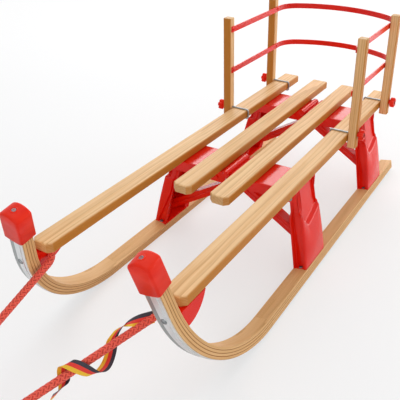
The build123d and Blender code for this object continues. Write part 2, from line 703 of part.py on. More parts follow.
# Knot: turns round the handle and a lump in which both strands end
with BuildPart() as knot:
    with BuildSketch(handle_mid):
        Circle(KNOT_R)
    extrude(amount=KNOT_W / 2, both=True)
    fillet(knot.edges().filter_by(GeomType.CIRCLE), ROPE_D / 2)
    with BuildSketch(handle_mid):
        with Locations((KNOT_LUMP_LEN / 2, 0)):
            RectangleRounded(KNOT_LUMP_LEN, KNOT_LUMP_H, ROPE_D / 2)
    extrude(amount=KNOT_LUMP_W / 2, both=True)
    with BuildSketch(handle_mid):
        Circle(HANDLE_R)
    extrude(amount=HANDLE_LEN, both=True, mode=Mode.SUBTRACT)
    for route in ROPE_ROUTES.values():
        with BuildSketch(rope_socket(route[:0:-1])):
            Circle(ROPE_D / 2 + FIT_GAP)
        extrude(amount=SOCKET_LEN, mode=Mode.SUBTRACT)
knot.part.label = "tow_knot"
export_step(knot.part, "parts/tow_knot.step")
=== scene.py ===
import bpy, bmesh
from math import asin, atan2, cos, hypot, pi, radians, sin
from mathutils import Matrix, Vector
from mathutils.kdtree import KDTree


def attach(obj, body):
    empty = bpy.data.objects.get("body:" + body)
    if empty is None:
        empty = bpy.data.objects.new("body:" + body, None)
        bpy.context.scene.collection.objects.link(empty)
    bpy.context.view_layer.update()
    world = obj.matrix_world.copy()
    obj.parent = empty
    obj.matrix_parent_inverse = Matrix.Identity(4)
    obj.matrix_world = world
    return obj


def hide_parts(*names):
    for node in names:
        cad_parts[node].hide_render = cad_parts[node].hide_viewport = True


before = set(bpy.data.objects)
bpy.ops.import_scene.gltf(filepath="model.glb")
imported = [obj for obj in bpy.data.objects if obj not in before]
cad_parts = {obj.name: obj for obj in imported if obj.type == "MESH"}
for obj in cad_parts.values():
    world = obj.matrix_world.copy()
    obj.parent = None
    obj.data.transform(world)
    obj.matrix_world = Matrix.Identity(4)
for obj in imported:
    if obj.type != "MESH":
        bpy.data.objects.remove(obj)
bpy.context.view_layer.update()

# Sizes repeated from the part's source, in metres
CANT = radians(11.5)
FOOT_X = 0.190
STRIP_W, CROWN_T, STRIP_H = 0.028, 0.0009, 0.0021
LAYER_T, LAYERS = 0.0055, 4
FLOOR_LIFT = STRIP_W / 2 * sin(CANT) - CROWN_T * cos(CANT)
BEND_START_Y, BEND_R, BEND_TURN, HORN_STRAIGHT = -0.278, 0.265, radians(79), 0.094
HORN_TIP = BEND_R * BEND_TURN + HORN_STRAIGHT
RUNNER_TOP = STRIP_H + LAYERS * LAYER_T
CAP_TOP_GAP, CAP_ARCH = 0.006, 0.008
TRESTLE_YS = (-0.037, 0.366)
LEG_RAKE, LEG_FOOT_LEN, LEG_CHANNEL, SHEET_T = -0.012, 0.102, 0.012, 0.002
LEG_TOP_LEN, LEG_DEPTH, LEG_NECK_V, LEG_TOP_V = 0.088, 0.030, 0.1777, 0.2005
BEAM_LEN, KNUCKLE_X, KNUCKLE_Z, KNUCKLE_BORE = 0.098, 0.011, 0.1975, 0.0075
STRUT_LOW, STRUT_PIVOT_Z, STRUT_WIDES = Vector((0.179, 0, 0.056)), 0.166, (0.030, 0.025)
SLAT_TOP_Z, SLAT_T, SLAT_EDGE_X, FIT_GAP = 0.222, 0.020, 0.162, 0.0003
POST_YS, POST_T = (0.209, 0.455), 0.022
RAIL_ZS, RAIL_T, WIRE_R = (0.325, 0.429), 0.003, 0.002
RAIL_FACE_X = SLAT_EDGE_X + FIT_GAP - RAIL_T
POST_OUT_X = SLAT_EDGE_X + FIT_GAP + POST_T
WIRE_Z = SLAT_TOP_Z + FIT_GAP + WIRE_R
KNOB_R, KNOB_T, KNOB_HUB_T = 0.013, 0.012, 0.004
ROPE_D = 0.012
HANDLE_R, HANDLE_LEN, HANDLE_ROUND = 0.014, 0.115, 0.005
KNOT_LIFT, KNOT_YAW = 0.0015, radians(15.5)
KNOT_MID = Vector((-0.132, -0.955, HANDLE_R + ROPE_D + KNOT_LIFT))

SIDES = (("left", -1), ("right", 1))
TRESTLES = tuple(zip(("front", "rear"), TRESTLE_YS))
POSTS = tuple(zip(("front", "rear"), POST_YS))


def placement(spot, x, y, z):
    """A place and its own three directions as one matrix."""
    return Matrix.Translation(spot) @ Matrix((x, y, z)).transposed().to_4x4()


# Camera
def place_camera():
    """The photograph's viewpoint. The focal length and offsets are in pixels of its frame."""
    azimuth, elevation, roll = radians(29.0), radians(28.92), radians(0.7)
    focal, off_right, off_down = 606.5, 40.74, -19.54
    eye, frame_width, sensor = Vector((0.58322, -1.08607, 0.82690)), 400, 36
    forward = Vector(
        (-sin(azimuth) * cos(elevation), cos(azimuth) * cos(elevation), -sin(elevation))
    )
    right = forward.cross(Vector((0, 0, 1))).normalized()
    up = right.cross(forward)
    across = right * cos(roll) + up * sin(roll)
    upright = up * cos(roll) - right * sin(roll)
    data = bpy.data.cameras.new("photo_camera")
    data.sensor_width = sensor
    data.lens = focal / frame_width * sensor
    data.shift_x = -off_right / frame_width
    data.shift_y = off_down / frame_width
    data.clip_start, data.clip_end = 0.01, 50
    data.dof.use_dof = False
    camera = bpy.data.objects.new("photo_camera", data)
    bpy.context.scene.collection.objects.link(camera)
    camera.matrix_world = placement(eye, across, upright, -forward)
    bpy.context.scene.camera = camera


place_camera()
bpy.context.scene.view_settings.view_transform = "Standard"


# Shader maths and nodes
class Value:
    """One number in a node tree, so that its maths reads as a Python expression."""

    def __init__(self, kit, socket):
        self.kit, self.socket = kit, socket

    def maths(self, operation, first, second=0.0):
        return self.kit.number(
            "ShaderNodeMath", {"operation": operation}, {0: first, 1: second}
        )

    def __add__(self, other):
        return self.maths("ADD", self, other)

    def __sub__(self, other):
        return self.maths("SUBTRACT", self, other)

    def __rsub__(self, other):
        return self.maths("SUBTRACT", other, self)

    def __mul__(self, other):
        return self.maths("MULTIPLY", self, other)

    def __truediv__(self, other):
        return self.maths("DIVIDE", self, other)

    def __abs__(self):
        return self.maths("ABSOLUTE", self)

    def __pow__(self, other):
        return self.maths("POWER", self, other)

    def __gt__(self, other):
        return self.maths("GREATER_THAN", self, other)

    def __lt__(self, other):
        return self.maths("LESS_THAN", self, other)

    __radd__, __rmul__ = __add__, __mul__

    def whole(self):
        return self.maths("FLOOR", self)

    def part(self):
        return self.maths("FRACT", self)

    def root(self):
        return self.maths("SQRT", self)

    def angle_to(self, other):
        return self.maths("ARCTAN2", self, other)

    def most(self, other):
        return self.maths("MAXIMUM", self, other)

    def ease(self, low, high):
        """0 below low, 1 above high and smooth between."""
        return self.kit.number(
            "ShaderNodeMapRange",
            {"interpolation_type": "SMOOTHSTEP"},
            {"Value": self, "From Min": low, "From Max": high},
        )


class NodeKit:
    """The nodes of one material or of the world, and short ways to add them."""

    def __init__(self, tree):
        self.nodes, self.links = tree.nodes, tree.links
        self.nodes.clear()

    def node(self, kind, settings=None, inputs=None):
        """Adds a node: its settings are set first, then its inputs by values or links."""
        node = self.nodes.new(kind)
        for key, setting in (settings or {}).items():
            if key == "stops":
                ramp = node.color_ramp.elements
                while len(ramp) < len(setting):
                    ramp.new(0.5)
                for stop, (place, colour) in zip(ramp, setting):
                    stop.position, stop.color = place, (*colour, 1)
            else:
                setattr(node, key, setting)
        for key, given in (inputs or {}).items():
            socket = node.inputs[key]
            if isinstance(given, Value):
                given = given.socket
            if isinstance(given, bpy.types.NodeSocket):
                self.links.new(given, socket)
            elif isinstance(given, tuple) and len(given) == 3 and socket.type == "RGBA":
                socket.default_value = (*given, 1)
            else:
                socket.default_value = given
        return node

    def number(self, kind, settings=None, inputs=None):
        """Adds a node whose first output is the number."""
        return Value(self, self.node(kind, settings, inputs).outputs[0])

    def split(self, vector):
        """A vector's parts as three numbers."""
        parts = self.node("ShaderNodeSeparateXYZ", None, {0: vector}).outputs
        return [Value(self, socket) for socket in parts]

    def place(self):
        """The object coordinates as three numbers, in metres."""
        return self.split(self.node("ShaderNodeTexCoord").outputs["Object"])

    def facing(self):
        """The surface normal as three numbers."""
        return self.split(self.node("ShaderNodeNewGeometry").outputs["Normal"])

    def vector(self, x, y, z):
        return self.node("ShaderNodeCombineXYZ", None, {0: x, 1: y, 2: z}).outputs[0]

    def noise(self, x, y, z, detail=2.0, rough=0.5):
        return self.number(
            "ShaderNodeTexNoise",
            {"noise_dimensions": "3D"},
            {"Vector": self.vector(x, y, z), "Scale": 1.0, "Detail": detail, "Roughness": rough},
        )

    def ramp(self, value, stops):
        return self.node("ShaderNodeValToRGB", {"stops": stops}, {0: value}).outputs[0]

    def between(self, cloud, colours):
        """Two colours that follow a noise, over the middle of its range."""
        return self.ramp(cloud, ((0.3, colours[0]), (0.7, colours[1])))

    def blend(self, factor, first, second):
        """Two colours mixed by a factor."""
        inputs = {"Factor": factor, 6: first, 7: second}
        return self.node("ShaderNodeMix", {"data_type": "RGBA"}, inputs).outputs[2]

    def bump(self, height, depth):
        inputs = {"Height": height, "Distance": depth, "Strength": 1.0}
        return self.node("ShaderNodeBump", None, inputs).outputs[0]


class Finish(NodeKit):
    """A material. Its shader is made last, from the colour, roughness and height."""

    def __init__(self, name):
        self.material = bpy.data.materials.new(name)
        self.material.use_nodes = True
        super().__init__(self.material.node_tree)

    def shade(self, **sockets):
        """The surface's shader, each socket named with _ for a space."""
        inputs = {name.replace("_", " "): given for name, given in sockets.items()}
        shader = self.node("ShaderNodeBsdfPrincipled", None, inputs)
        self.node("ShaderNodeOutputMaterial", None, {0: shader.outputs[0]})
        return self.material


# Colours of wood, enamel, plastic, steel, rope, ribbon and floor
PALE_ASH, WARM_ASH, DARK_ASH = (0.85, 0.545, 0.27), (0.74, 0.42, 0.165), (0.50, 0.235, 0.062)
# Painted shade: the deep orange-brown that darkens the side faces of the wood
LIGHT_ASH, SIDE_SHADE_ASH, END_ASH = (0.88, 0.60, 0.30), (0.49, 0.165, 0.004), (0.50, 0.29, 0.115)
PORE_BROWN, LAYER_BROWN, GLUE_BROWN = (0.33, 0.16, 0.05), (0.66, 0.36, 0.12), (0.34, 0.10, 0.006)
PAINT_REDS, PAINT_DUST = ((0.76, 0.007, 0.001), (0.84, 0.013, 0.002)), (0.9, 0.25, 0.2)
PLASTIC_REDS, PLASTIC_SCUFF = ((0.84, 0.022, 0.009), (0.92, 0.040, 0.017)), (0.9, 0.22, 0.18)
STEEL_GREYS = ((0.74, 0.76, 0.76), (0.84, 0.86, 0.86))
# Painted on the steel: a dark reflection in a band, and shade in a line by the crown
STEEL_DARK_REFLECTION, STEEL_CREASE_SHADE = (0.40, 0.43, 0.43), (0.20, 0.22, 0.22)
ZINC_GREYS, ZINC_DARK = ((0.33, 0.35, 0.36), (0.50, 0.52, 0.53)), (0.10, 0.10, 0.11)
ROPE_REDS = ((0.90, 0.085, 0.048), (0.97, 0.165, 0.105))
# Painted shade: the rope's colour where its yarns dive below the outside
ROPE_MARK, ROPE_HOLLOW_SHADE = (0.40, 0.008, 0.006), (0.36, 0.006, 0.005)
RIBBON_BLACK, RIBBON_RED = (0.016, 0.011, 0.024), (0.88, 0.030, 0.014)
# Painted shade: the dark between the ribbon's ribs and threads
RIBBON_GOLD, RIBBON_THREAD_SHADE = (1.0, 0.58, 0.016), (0.02, 0.01, 0.01)
FLOOR_PALE = (0.90, 0.905, 0.915)


# Wood
def ash_wood(finish, along, across, depth, end_grain, seed=0.0, edge=0.0):
    """Ash with slanting growth rings, streaks and pores, and painted shade on the faces that edge
    marks: its colour, roughness and height.
    """
    heart_across, heart_depth, rings_per_metre = 0.012, 0.038, 215
    drift = finish.noise(across * 30, along * 2.4 + seed, depth * 30, 2.0)
    ring_x, ring_z = across + heart_across, depth + heart_depth
    radius = (ring_x * ring_x + ring_z * ring_z).root()
    rings = (radius * rings_per_metre + drift * 3.4 + seed * 0.37).part()
    late = (rings ** 3.0) * (1 - rings.ease(0.93, 1.0))
    streak = finish.noise(across * 170, along * 3.0 + seed, depth * 170, 4.0, 0.6)
    pores = finish.noise(across * 1300, along * 34, depth * 1300, 2.0, 0.6).ease(0.58, 0.72)
    colour = finish.ramp(streak, ((0.30, WARM_ASH), (0.52, PALE_ASH), (0.78, LIGHT_ASH)))
    colour = finish.blend(late * 0.62, colour, DARK_ASH)
    colour = finish.blend(pores * (0.10 + late * 0.35), colour, PORE_BROWN)
    # Painted shade: the faces that edge marks are darkened towards a deep orange-brown
    colour = finish.blend(edge * 0.90, colour, SIDE_SHADE_ASH)
    colour = finish.blend(end_grain * 0.45, colour, END_ASH)
    rough = 0.40 + pores * 0.14 + streak * 0.10
    height = late * 0.35 - pores * 0.5
    return colour, rough, height


def lacquered(finish, colour, rough, height):
    """Clear satin lacquer over wood."""
    return finish.shade(
        Base_Color=colour,
        Roughness=rough,
        Normal=finish.bump(height, 0.00012),
        Specular_IOR_Level=0.16,
        Coat_Weight=0.03,
        Coat_Roughness=0.25,
    )


def slat_ash():
    """The slats: grain along the sled, each from a part of the trunk of its own, with painted
    shade on their sides.
    """
    finish = Finish("ash_slats")
    boards_per_metre, first_board = 18, 40
    x, y, z = finish.place()
    facing = finish.facing()
    # Painted shade: edge marks the sides that face across the sled, to be darkened
    end, edge = abs(facing[1]).ease(0.75, 0.95), abs(facing[0]).ease(0.25, 0.95)
    board = (x * boards_per_metre + first_board).whole()
    across = x - (board - (first_board - 0.5)) / boards_per_metre
    depth = z - (SLAT_TOP_Z - SLAT_T / 2)
    return lacquered(finish, *ash_wood(finish, y, across, depth, end, board * 3.17, edge))


def post_ash():
    """The backrest's posts: upright grain, with painted shade on two sides of each."""
    finish = Finish("ash_posts")
    x, y, z = finish.place()
    facing = finish.facing()
    on_right = x > 0.0
    # Painted shade: sides facing across on the right posts, sides facing along on the left ones
    shaded_sides = abs(facing[0]) * on_right + abs(facing[1]) * (1 - on_right)
    end, edge = abs(facing[2]).ease(0.75, 0.95), shaded_sides.ease(0.25, 0.95)
    post = (y * 8 + 40).whole() + (x * 4).whole() * 3.7
    return lacquered(finish, *ash_wood(finish, z, x, y - 0.3, end, post * 3.17, edge))


def band_place(finish, side):
    """A point's place in a runner's bent band: along it, out from its middle, in from its sole."""
    x, y, z = finish.place()
    out = (x - side * FOOT_X) * cos(CANT) + (z - FLOOR_LIFT) * (side * sin(CANT))
    up = (z - FLOOR_LIFT) * cos(CANT) - (x - side * FOOT_X) * (side * sin(CANT))
    past, under = BEND_START_Y - y, BEND_R - up
    reach = (past * past + under * under).root()
    horn_run = past * cos(BEND_TURN) - under * sin(BEND_TURN)
    horn_depth = BEND_R - past * sin(BEND_TURN) - under * cos(BEND_TURN)
    on_horn = horn_run > 0.0
    in_bend = (past > 0.0) * (1 - on_horn)
    on_foot = 1 - (past > 0.0).most(on_horn)
    turn = past.angle_to(under)
    depth = on_foot * up + in_bend * (BEND_R - reach) + on_horn * horn_depth
    along = (
        on_foot * past
        + in_bend * (turn * BEND_R)
        + on_horn * (horn_run + BEND_R * BEND_TURN)
    )
    return along, out, depth


def laminated_ash(side_name, side):
    """A runner: four bent layers, each with its own grain, dark glue between them and faint
    painted shade on its sides.
    """
    finish = Finish(f"laminated_ash_{side_name}")
    skin = 0.0004
    along, out, depth = band_place(finish, side)
    layer = (depth - STRIP_H) / LAYER_T
    number = layer.whole()
    from_middle = abs(layer.part() - 0.5)
    # Painted shade: the sides facing across the sled are darkened a little
    edge = abs(finish.facing()[0]).ease(0.3, 0.95)
    colour, rough, height = ash_wood(
        finish, along, out, depth + number * 0.017, 0.0, number * 5.3 + 2.0, edge * 0.16
    )
    tone = (number * 0.37 + 0.11).part()
    colour = finish.blend(tone * 0.34, colour, LAYER_BROWN)
    inside = (depth > STRIP_H + skin) * (depth < RUNNER_TOP - skin)
    glue = from_middle.ease(0.37, 0.45) * inside
    colour = finish.blend(glue * 0.95, colour, GLUE_BROWN)
    return lacquered(finish, colour, rough + glue * 0.15, height - glue * 1.2)


def turned_ash():
    """The handle: grain along its own tilted axis."""
    finish = Finish("turned_ash")
    where = finish.node("ShaderNodeTexCoord").outputs["Object"]
    centred = finish.node(
        "ShaderNodeMapping",
        {"vector_type": "TEXTURE"},
        {0: where, 1: tuple(KNOT_MID), 2: tuple(handle_turn().to_euler())},
    )
    x, y, z = finish.split(centred.outputs[0])
    end_skin, end_blend = 0.0008, 0.0014
    cut = HANDLE_LEN / 2 - end_skin
    end = abs(z).ease(cut - end_blend, cut)
    return lacquered(finish, *ash_wood(finish, z, x * 0.9, y * 0.9, end * 0.8, 7.7))


# Paint, plastic and metal
def red_paint():
    """Glossy red enamel on pressed steel, with a faint orange peel."""
    finish = Finish("red_paint")
    x, y, z = finish.place()
    cloud = finish.noise(x * 22, y * 22, z * 22, 3.0)
    peel = finish.noise(x * 620, y * 620, z * 620, 1.0)
    dust = finish.noise(x * 2600, y * 2600, z * 2600, 0.0).ease(0.70, 0.80)
    colour = finish.blend(dust * 0.08, finish.between(cloud, PAINT_REDS), PAINT_DUST)
    return finish.shade(
        Base_Color=colour,
        Roughness=0.15 + cloud * 0.08 + dust * 0.1,
        Normal=finish.bump(peel, 0.00003),
        Specular_IOR_Level=0.32,
    )


def red_plastic():
    """Glossy moulded plastic with flow marks and light scuffs."""
    finish = Finish("red_plastic")
    x, y, z = finish.place()
    flow = finish.noise(x * 35, y * 35, z * 90, 2.0)
    grain = finish.noise(x * 1500, y * 1500, z * 1500, 1.0)
    scuff = finish.noise(x * 900, y * 120, z * 400, 3.0, 0.7).ease(0.62, 0.72)
    colour = finish.blend(scuff * 0.10, finish.between(flow, PLASTIC_REDS), PLASTIC_SCUFF)
    return finish.shade(
        Base_Color=colour,
        Roughness=0.26 + flow * 0.12 + scuff * 0.2,
        Normal=finish.bump(grain, 0.00003),
        Specular_IOR_Level=0.11,
    )


def rolled_steel(side_name, side):
    """A runner's steel strip: fine scratches along it, a painted dark reflection in a band and a
    painted shadow line by its crown.
    """
    finish = Finish(f"rolled_steel_{side_name}")
    band_out, crease_out = -0.0040, -0.0052
    along, out, depth = band_place(finish, side)
    scratch = finish.noise(out * 3400, along * 5, depth * 3400, 2.0, 0.5)
    cloud = finish.noise(out * 60, along * 18, depth * 60, 3.0)
    # Painted reflection: a darker band beside the crown, standing in for dark surroundings
    # mirrored in it
    band = 1 - out.ease(band_out - 0.0022, band_out)
    # Painted shade: a dark line where the crown steps down
    crease_shade = 1 - abs(out - crease_out).ease(0.0004, 0.0012)
    colour = finish.blend(band, finish.between(cloud, STEEL_GREYS), STEEL_DARK_REFLECTION)
    colour = finish.blend(crease_shade * 0.55, colour, STEEL_CREASE_SHADE)
    return finish.shade(
        Base_Color=colour,
        Metallic=1.0,
        Roughness=0.30 + scratch * 0.08 + cloud * 0.06,
        Normal=finish.bump(scratch, 0.000004),
    )


def zinc_plate(name, darkness):
    """Zinc plating: dull spangled grey, as dark as given."""
    finish = Finish(name)
    x, y, z = finish.place()
    spangle = finish.number(
        "ShaderNodeTexVoronoi",
        {"feature": "F1"},
        {"Vector": finish.vector(x * 900, y * 900, z * 900), "Scale": 1.0},
    )
    cloud = finish.noise(x * 90, y * 90, z * 90, 3.0)
    colour = finish.between(cloud, ZINC_GREYS)
    return finish.shade(
        Base_Color=finish.blend(spangle * 0.22 + darkness, colour, ZINC_DARK),
        Metallic=1.0,
        Roughness=0.30 + spangle * 0.10 + cloud * 0.08,
        Normal=finish.bump(cloud, 0.00003),
    )


# Rope and ribbon
def rope_yarn():
    """Braided rope: bright red yarns with a dark one in each carrier, and painted shade where they
    dive.
    """
    finish = Finish("rope_yarn")
    x, y, z = finish.place()
    sunk, marked = [
        Value(finish, finish.node("ShaderNodeAttribute", {"attribute_name": name}).outputs["Fac"])
        for name in ("sunk", "dark_yarn")
    ]
    fibre = finish.noise(x * 2600, y * 2600, z * 2600, 2.0)
    tone = finish.noise(x * 300, y * 300, z * 300, 2.0)
    colour = finish.blend(marked * 0.62, finish.between(tone, ROPE_REDS), ROPE_MARK)
    # Painted shade: yarns darken where they dive below the rope's outside
    colour = finish.blend(sunk.ease(0.30, 0.85) * 0.85, colour, ROPE_HOLLOW_SHADE)
    return finish.shade(
        Base_Color=colour,
        Roughness=0.55 + fibre * 0.2,
        Normal=finish.bump(fibre, 0.00012),
        Sheen_Weight=0.25,
        Sheen_Roughness=0.4,
    )


def ribbon_weave():
    """Woven ribbon in three equal stripes, black, red and gold, with ribs across it and painted
    shade between its threads.
    """
    finish = Finish("ribbon_weave")
    ribs_per_metre, threads_across = 1100, 26
    place = finish.node("ShaderNodeUVMap", {"uv_map": "weave"}).outputs[0]
    width, length, _ = finish.split(place)
    stripe = width + (finish.noise(length * 400, width * 3, width, 1.0) - 0.5) * 0.012
    colour = finish.blend(stripe.ease(0.325, 0.34), RIBBON_BLACK, RIBBON_RED)
    colour = finish.blend(stripe.ease(0.66, 0.675), colour, RIBBON_GOLD)
    ribs = abs((length * ribs_per_metre).part() - 0.5) * 2
    threads = abs((width * threads_across).part() - 0.5) * 2
    # Painted shade: darker where ribs and threads meet
    colour = finish.blend(ribs * threads * 0.25, colour, RIBBON_THREAD_SHADE)
    return finish.shade(
        Base_Color=colour,
        Roughness=0.45 + ribs * 0.15,
        Normal=finish.bump(ribs + threads, 0.00008),
        Sheen_Weight=0.2,
    )


# Meshes
def sled_piece(name, mesh, material):
    """A mesh in one material as a piece that rides on the sled."""
    mesh.materials.clear()
    mesh.materials.append(material)
    piece = bpy.data.objects.new(name, mesh)
    bpy.context.scene.collection.objects.link(piece)
    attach(piece, "root")
    return piece


def mesh_piece(name, shape, material, smooth=True):
    """Turns a bmesh into a piece."""
    mesh = bpy.data.meshes.new(name)
    bmesh.ops.recalc_face_normals(shape, faces=shape.faces)
    shape.to_mesh(mesh)
    shape.free()
    if smooth:
        mesh.shade_smooth()
    return sled_piece(name, mesh, material)


def add_shape(shape, made, placed):
    """Adds a small shape, at its place, to one that holds several."""
    bmesh.ops.transform(made, matrix=placed, verts=made.verts)
    mesh = bpy.data.meshes.new("added")
    made.to_mesh(mesh)
    made.free()
    shape.from_mesh(mesh)
    bpy.data.meshes.remove(mesh)


def soften(shape, edges, offset, segments):
    """Rounds edges over."""
    bmesh.ops.bevel(
        shape,
        geom=edges,
        offset=offset,
        segments=segments,
        profile=0.5,
        affect="EDGES",
        material=-1,
    )


def push(shape, faces, height, hollow=False):
    """Extrudes faces upwards, or sinks them and leaves the place behind them open."""
    grown = bmesh.ops.extrude_face_region(shape, geom=faces)["geom"]
    if hollow:
        bmesh.ops.delete(shape, geom=faces, context="FACES_ONLY")
    moved = [item for item in grown if isinstance(item, bmesh.types.BMVert)]
    bmesh.ops.translate(shape, vec=(0, 0, height), verts=moved)


def level_edges(edges):
    """The edges that lie level."""
    return [edge for edge in edges if abs(edge.verts[0].co.z - edge.verts[1].co.z) < 1e-6]


def add_cone(shape, low, high, low_radius, high_radius, segments):
    """Adds a closed cone or cylinder between two heights."""
    made = bmesh.ops.create_cone(
        shape,
        cap_ends=True,
        segments=segments,
        radius1=low_radius,
        radius2=high_radius,
        depth=high - low,
    )
    bmesh.ops.translate(shape, vec=(0, 0, (low + high) / 2), verts=made["verts"])


def mesh_of(curve):
    """The mesh of a curve, which is then removed."""
    holder = bpy.data.objects.new(curve.name, curve)
    bpy.context.scene.collection.objects.link(holder)
    bpy.context.view_layer.update()
    mesh = bpy.data.meshes.new_from_object(
        holder.evaluated_get(bpy.context.evaluated_depsgraph_get())
    )
    bpy.data.objects.remove(holder)
    bpy.data.curves.remove(curve)
    return mesh


def runs(points):
    """How far along its line each point lies."""
    gone = [0.0]
    for here, there in zip(points, points[1:]):
        gone.append(gone[-1] + (there - here).length)
    return gone


def route_points(route, step):
    """Points a step apart along a smooth spline whose control points are the route's."""
    curve = bpy.data.curves.new("route", "CURVE")
    curve.dimensions = "3D"
    spline = curve.splines.new("NURBS")
    spline.points.add(len(route) - 1)
    for point, place in zip(spline.points, route):
        point.co = (*place, 1)
    spline.order_u = 3
    spline.use_endpoint_u = True
    spline.resolution_u = 40
    line = mesh_of(curve)
    read = [vertex.co.copy() for vertex in line.vertices]
    bpy.data.meshes.remove(line)
    gone = runs(read)
    count = max(4, round(gone[-1] / step))
    points, at = [], 0
    for number in range(count + 1):
        target = gone[-1] * number / count
        while at < len(read) - 2 and gone[at + 1] < target:
            at += 1
        share = (target - gone[at]) / max(gone[at + 1] - gone[at], 1e-9)
        points.append(read[at].lerp(read[at + 1], min(max(share, 0.0), 1.0)))
    return points


def carried_frames(points):
    """A pair of directions across the line at each point, carried along it without twist."""
    side = (points[1] - points[0]).orthogonal().normalized()
    frames = []
    for number in range(len(points)):
        before, after = points[max(number - 1, 0)], points[min(number + 1, len(points) - 1)]
        forward = (after - before).normalized()
        side = (side - forward * side.dot(forward)).normalized()
        frames.append((side, forward.cross(side)))
    return frames


# Braided rope
BRAID_PITCH, CARRIERS, YARNS, YARN_TURN = 0.036, 4, 3, 0.48
YARN_R, BRAID_SWING, BRAID_OUT_R = 0.00130, 0.00060, 0.0068
BRAID_R = BRAID_OUT_R - YARN_R - BRAID_SWING


def lay_yarn(curve, places, radius=1.0, marked=False):
    """Adds one yarn to the rope's curve. A marked yarn lies in the second material slot."""
    yarn = curve.splines.new("POLY")
    yarn.points.add(len(places) - 1)
    yarn.material_index = int(marked)
    for point, place in zip(yarn.points, places):
        point.co, point.radius = (*place, 1), radius


def braid(name, routes, step=0.0015):
    """Rope along each route: two crossing sets of carriers, three yarns in each, over a core."""
    curve = bpy.data.curves.new(name, "CURVE")
    curve.dimensions = "3D"
    curve.bevel_depth = YARN_R
    curve.bevel_resolution = 1
    curve.use_fill_caps = True
    curve.materials.append(ROPE_YARN)
    curve.materials.append(ROPE_YARN)
    paths = [route_points(route, step) for route in routes]
    for points in paths:
        lay_yarn(curve, points, (BRAID_R - YARN_R * 0.4) / YARN_R)
        frames, gone = carried_frames(points), runs(points)
        for sense in (1, -1):
            for carrier in range(CARRIERS):
                for yarn in range(YARNS):
                    lag = (yarn - (YARNS - 1) / 2) * YARN_TURN
                    start = (carrier + (0.5 if sense < 0 else 0)) * 2 * pi / CARRIERS + lag
                    places = []
                    for place, (side, lift), run in zip(points, frames, gone):
                        turn = 2 * pi * run / BRAID_PITCH
                        weave = sin(CARRIERS * turn + sense * 2 * lag) * sense
                        radius, angle = BRAID_R + BRAID_SWING * weave, start + sense * turn
                        places.append(place + (side * cos(angle) + lift * sin(angle)) * radius)
                    lay_yarn(curve, places, marked=yarn == YARNS // 2)
    mesh = mesh_of(curve)
    mesh.name = name
    mark_yarns(mesh)
    mark_sunk(mesh, paths)
    mesh.shade_smooth()
    return sled_piece(name, mesh, ROPE_YARN), paths


def mark_yarns(mesh):
    """Writes which points are of a dark yarn, and puts all faces in one material."""
    dark = mesh.attributes.new("dark_yarn", "FLOAT", "POINT")
    for face in mesh.polygons:
        if face.material_index:
            for number in face.vertices:
                dark.data[number].value = 1.0
            face.material_index = 0


def mark_sunk(mesh, paths):
    """Writes how deep each point of the rope lies below its outside, for painted shade in its
    hollows.
    """
    line = [point for path in paths for point in path]
    tree = KDTree(len(line))
    for number, point in enumerate(line):
        tree.insert(point, number)
    tree.balance()
    sunk = mesh.attributes.new("sunk", "FLOAT", "POINT")
    for vertex, mark in zip(mesh.vertices, sunk.data):
        away = tree.find(vertex.co)[2]
        mark.value = min(max((BRAID_OUT_R - away) / (2 * BRAID_SWING + YARN_R), 0.0), 1.0)


# Places on the runners
def canted(side):
    """The middle of a runner's foot, and its own upward and outward directions."""
    foot = Vector((side * FOOT_X, 0, FLOOR_LIFT))
    upwards = Vector((-side * sin(CANT), 0, cos(CANT)))
    return foot, upwards, Vector((side * cos(CANT), 0, sin(CANT)))


def band_spot(side, along, depth):
    """A point of a runner's bent band, and the directions along it and out through its sole."""
    foot, up, _ = canted(side)
    rearward = Vector((0, 1, 0))
    turn = min(max(along / BEND_R, 0.0), BEND_TURN)
    reach, past = BEND_R - depth, along - turn * BEND_R
    y = BEND_START_Y - reach * sin(turn) - past * cos(turn)
    height = BEND_R - reach * cos(turn) + past * sin(turn)
    ahead = up * sin(turn) - rearward * cos(turn)
    through = -up * cos(turn) - rearward * sin(turn)
    return foot + rearward * y + up * height, ahead, through


def facing_matrix(spot, normal, towards):
    """A placement whose z is the normal and whose x is as near as can be to another direction."""
    z = normal.normalized()
    x = (towards - z * towards.dot(z)).normalized()
    return placement(spot, x, z.cross(x), z)


# Screws
def screw_head(shape, placed, radius, height, cross):
    """Adds a domed screw head with a slot or a cross pressed into it."""
    made = bmesh.new()
    bmesh.ops.create_circle(made, cap_ends=True, segments=24, radius=radius)
    push(made, list(made.faces), height)
    rim = [edge for edge in made.edges if all(v.co.z > height * 0.9 for v in edge.verts)]
    soften(made, rim, height * 0.7, 4)
    half, arm = radius * 0.16, radius * 0.16 * 3.4
    cuts = [((0, 1, 0), half)]
    if cross:
        cuts += [((1, 0, 0), half), ((1, 0, 0), arm), ((0, 1, 0), arm)]
    for normal, offset in cuts:
        for sense in (1, -1):
            bmesh.ops.bisect_plane(
                made,
                geom=list(made.verts) + list(made.edges) + list(made.faces),
                plane_co=Vector(normal) * offset * sense,
                plane_no=normal,
            )
    recess = []
    for face in made.faces:
        middle = face.calc_center_median()
        in_slot = abs(middle.y) < half and (not cross or abs(middle.x) < arm)
        in_cross = cross and abs(middle.x) < half and abs(middle.y) < arm
        if face.normal.z >= 0.3 and middle.z >= height * 0.2 and (in_slot or in_cross):
            recess.append(face)
    push(made, recess, -height * 0.55, hollow=True)
    add_shape(shape, made, placed)


def screw_set(name, places, radius, height, material, cross=False):
    """Screw heads of one kind, as one piece."""
    shape = bmesh.new()
    for placed in places:
        screw_head(shape, placed, radius, height, cross)
    return mesh_piece(name, shape, material, smooth=False)


